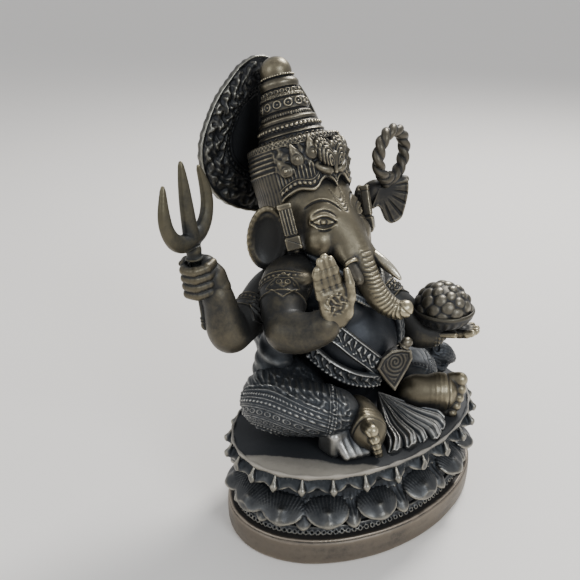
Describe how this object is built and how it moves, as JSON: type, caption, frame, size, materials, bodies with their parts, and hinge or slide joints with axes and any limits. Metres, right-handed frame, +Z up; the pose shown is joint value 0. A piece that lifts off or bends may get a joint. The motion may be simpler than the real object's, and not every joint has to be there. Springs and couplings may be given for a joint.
{
  "type": "seated elephant-headed deity figurine",
  "caption": "Patinated brass figurine of a seated four-armed elephant-headed deity on an oval lotus base, with a lift-out trident.",
  "frame": {"origin": "centre of the plinth's underside, on the surface it stands on", "axes": "+Z up; the figure faces -Y; its own left hand is on +X"},
  "size_m": [0.2172, 0.164, 0.282],
  "materials": {
    "base_brass": "dark patina in the hollows, worn brown brass on the plinth band and petal tips",
    "skin_brass": "worn satin olive brass with a dark patina in the folds",
    "cloth_brass": "blue-black patina with light wear on engraved bands",
    "ornament_brass": "dark patina with worn brass on raised ornament",
    "attribute_brass": "dark patina with worn brass on raised spots",
    "trident_brass": "cleaner satin brass with light tarnish"
  },
  "bodies": {
    "figure": {"plinth": "base_brass", "bead_row": "base_brass", "lower_lotus": "base_brass", "waist_ring": "base_brass", "upper_lotus": "base_brass", "seat_plate": "base_brass", "torso": "skin_brass", "hips": "cloth_brass", "shawl": "cloth_brass", "right_thigh": "cloth_brass", "left_thigh": "cloth_brass", "right_shin": "cloth_brass", "left_shin": "cloth_brass", "right_foot": "skin_brass", "left_foot": "skin_brass", "hem_support": "cloth_brass", "front_pleats": "cloth_brass", "waist_sash": "cloth_brass", "sash_knot": "cloth_brass", "sacred_thread": "cloth_brass", "right_front_arm": "skin_brass", "right_front_forearm": "skin_brass", "blessing_hand": "skin_brass", "right_front_armlet": "ornament_brass", "right_front_bracelet": "ornament_brass", "right_rear_arm": "skin_brass", "right_rear_forearm": "skin_brass", "trident_hand": "skin_brass", "right_rear_bracelet": "ornament_brass", "right_rear_armlet": "ornament_brass", "left_front_arm": "skin_brass", "left_front_forearm": "skin_brass", "bowl": "attribute_brass", "sweets": "attribute_brass", "bowl_hand": "skin_brass", "left_front_bracelet": "ornament_brass", "left_rear_arm": "skin_brass", "head": "skin_brass", "trunk": "skin_brass", "right_tusk": "skin_brass", "left_tusk": "skin_brass", "right_ear": "skin_brass", "left_ear": "skin_brass", "left_rear_forearm": "skin_brass", "noose_hand": "skin_brass", "left_rear_bracelet": "ornament_brass", "noose": "attribute_brass", "crown_band": "ornament_brass", "crown_medallion": "ornament_brass", "crown_lower_tier": "ornament_brass", "crown_middle_tier": "ornament_brass", "crown_upper_tier": "ornament_brass", "crown_finial": "ornament_brass", "right_lappet": "ornament_brass", "left_lappet": "ornament_brass", "halo_disc": "ornament_brass", "halo_rim": "ornament_brass", "mouse": "skin_brass"},
    "trident": {"trident_shaft": "trident_brass", "trident_head": "trident_brass"}
  },
  "joints": [
    {"name": "trident_slide", "type": "slide", "parent": "figure", "child": "trident", "axis": [-0.1219, 0, 0.9925], "range_m": [0, 0.044]}
  ]
}
